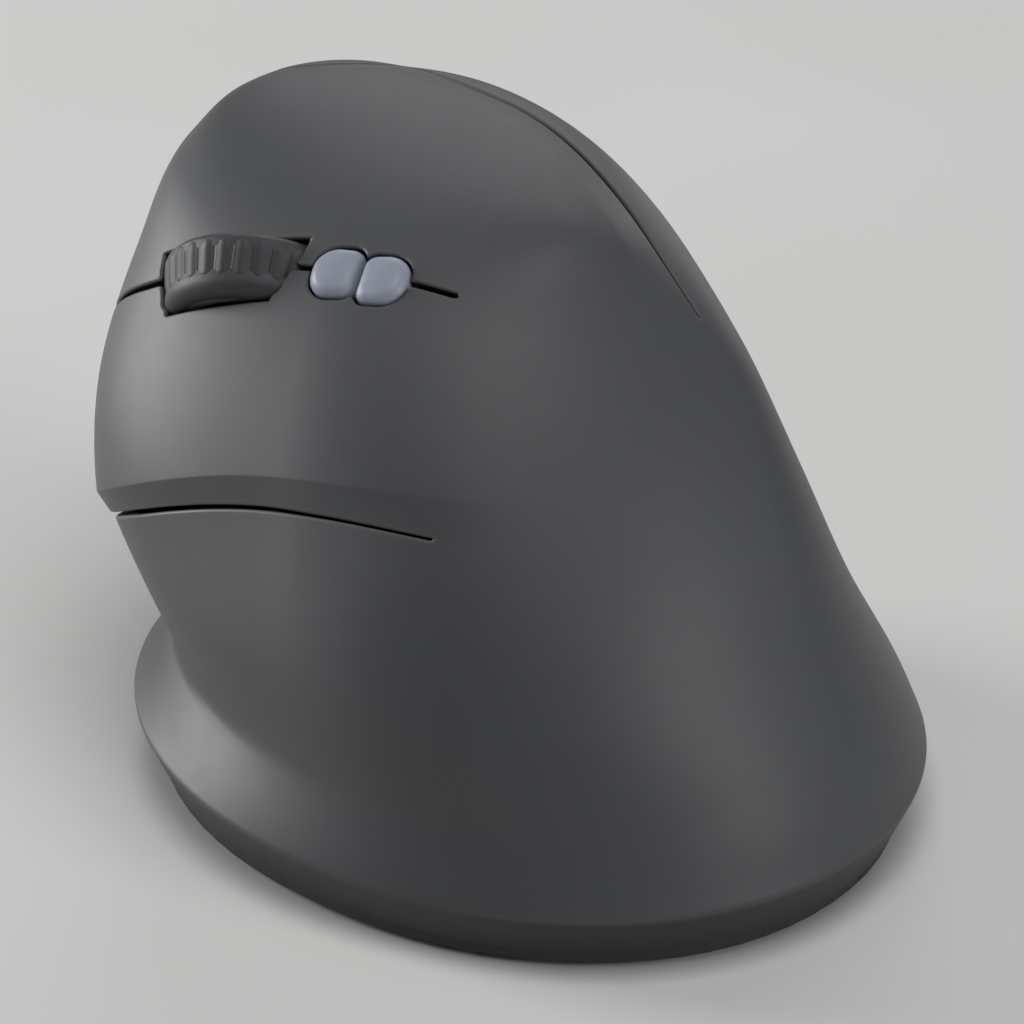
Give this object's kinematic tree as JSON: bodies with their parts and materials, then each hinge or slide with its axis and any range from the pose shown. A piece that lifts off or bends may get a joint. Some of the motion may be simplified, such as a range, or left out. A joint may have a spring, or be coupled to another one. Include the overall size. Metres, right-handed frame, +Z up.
{
  "type": "vertical ergonomic mouse",
  "caption": "Left-handed vertical ergonomic wireless mouse: a tall sloped shell with flexing buttons, a clicking scroll wheel, keys on both faces and a battery bay under its base.",
  "frame": {"origin": "on the desk under the middle of the bounding box", "axes": "+Y to the front, -X the finger side, +X the thumb side, +Z up"},
  "size_m": [0.084, 0.1049, 0.0712],
  "materials": {
    "cover_plastic": "soft-touch",
    "button_plastic": "soft-touch",
    "tyre_rubber": "matte",
    "key_plastic": "satin",
    "frame_plastic": "matte",
    "board": "satin",
    "switch_plastic": "gloss",
    "plunger_plastic": "gloss",
    "lens": "clear",
    "cell": "satin",
    "steel": "satin",
    "foot_plastic": "satin"
  },
  "bodies": {
    "mouse_body": {"base_plate": "frame_plastic", "finger_cover": "cover_plastic", "thumb_cover": "cover_plastic", "wheel_switch": "switch_plastic", "switch_frame": "frame_plastic", "button_board": "board", "upper_switch": "switch_plastic", "lower_switch": "switch_plastic", "key_switches": "switch_plastic", "thumb_board": "board", "thumb_switches": "switch_plastic", "main_board": "board", "motion_sensor": "switch_plastic", "sensor_lens": "lens", "battery_cell": "cell", "battery_contacts": "steel", "power_switch": "steel", "front_foot": "foot_plastic", "rear_foot": "foot_plastic", "cover_screws": "steel", "frame_screws": "steel"},
    "upper_button_tongue": {"upper_button": "button_plastic"},
    "lower_button_tongue": {"lower_button": "button_plastic"},
    "upper_switch_plunger": {"upper_plunger": "plunger_plastic"},
    "lower_switch_plunger": {"lower_plunger": "plunger_plastic"},
    "wheel_yoke": {"wheel_carrier": "frame_plastic", "scroll_encoder": "switch_plastic"},
    "scroll_wheel": {"wheel_hub": "frame_plastic", "wheel_tyre": "tyre_rubber"},
    "front_key_cap": {"front_key": "key_plastic"},
    "rear_key_cap": {"rear_key": "key_plastic"},
    "forward_key_cap": {"forward_key": "cover_plastic"},
    "back_key_cap": {"back_key": "cover_plastic"},
    "power_knob": {"power_slider": "key_plastic"},
    "door_panel": {"battery_door": "frame_plastic"}
  },
  "joints": [
    {"name": "upper_button_flex", "type": "hinge", "parent": "mouse_body", "child": "upper_button_tongue", "pos_m": [-0.00987, -0.00255, 0.065], "axis": [-0.9282, -0.3288, -0.1742], "range_deg": [0, 0.8], "stiffness_Nm_per_rad": 2},
    {"name": "lower_button_flex", "type": "hinge", "parent": "mouse_body", "child": "lower_button_tongue", "pos_m": [-0.0266, -0.015, 0.04548], "axis": [-0.5858, -0.4359, -0.6832], "range_deg": [0, 0.8], "stiffness_Nm_per_rad": 2},
    {"name": "upper_plunger_slide", "type": "slide", "parent": "mouse_body", "child": "upper_switch_plunger", "axis": [0.7024, -0.0853, -0.7067], "range_m": [0, 0.00038]},
    {"name": "lower_plunger_slide", "type": "slide", "parent": "mouse_body", "child": "lower_switch_plunger", "axis": [0.7024, -0.0853, -0.7067], "range_m": [0, 0.00042]},
    {"name": "wheel_click", "type": "hinge", "parent": "mouse_body", "child": "wheel_yoke", "pos_m": [-0.00927, 0.016, 0.05671], "axis": [-0.666, -0.4292, -0.6101], "range_deg": [0, 2], "stiffness_Nm_per_rad": 0.3},
    {"name": "wheel_spin", "type": "hinge", "parent": "wheel_yoke", "child": "scroll_wheel", "pos_m": [-0.01382, 0.02524, 0.05518], "axis": [0.666, 0.4292, 0.6101], "continuous": true},
    {"name": "front_key_press", "type": "slide", "parent": "mouse_body", "child": "front_key_cap", "axis": [0.4826, 0.0654, -0.8734], "range_m": [0, 0.0006], "stiffness_N_per_m": 1500},
    {"name": "rear_key_press", "type": "slide", "parent": "mouse_body", "child": "rear_key_cap", "axis": [0.4826, 0.0654, -0.8734], "range_m": [0, 0.0006], "stiffness_N_per_m": 1500},
    {"name": "forward_key_press", "type": "slide", "parent": "mouse_body", "child": "forward_key_cap", "axis": [-0.9712, -0.0193, -0.2374], "range_m": [0, 0.0006], "stiffness_N_per_m": 1500},
    {"name": "back_key_press", "type": "slide", "parent": "mouse_body", "child": "back_key_cap", "axis": [-0.9712, -0.0193, -0.2374], "range_m": [0, 0.0006], "stiffness_N_per_m": 1500},
    {"name": "power_slide", "type": "slide", "parent": "mouse_body", "child": "power_knob", "axis": [1, 0, 0], "range_m": [0, 0.003]},
    {"name": "battery_door_slide", "type": "slide", "parent": "mouse_body", "child": "door_panel", "axis": [0, -1, 0], "range_m": [0, 0.024]}
  ],
  "couplings": [
    {"joint": "upper_plunger_slide", "follows": "upper_button_flex", "m_per_rad": 0.026865},
    {"joint": "lower_plunger_slide", "follows": "lower_button_flex", "m_per_rad": 0.029717}
  ]
}
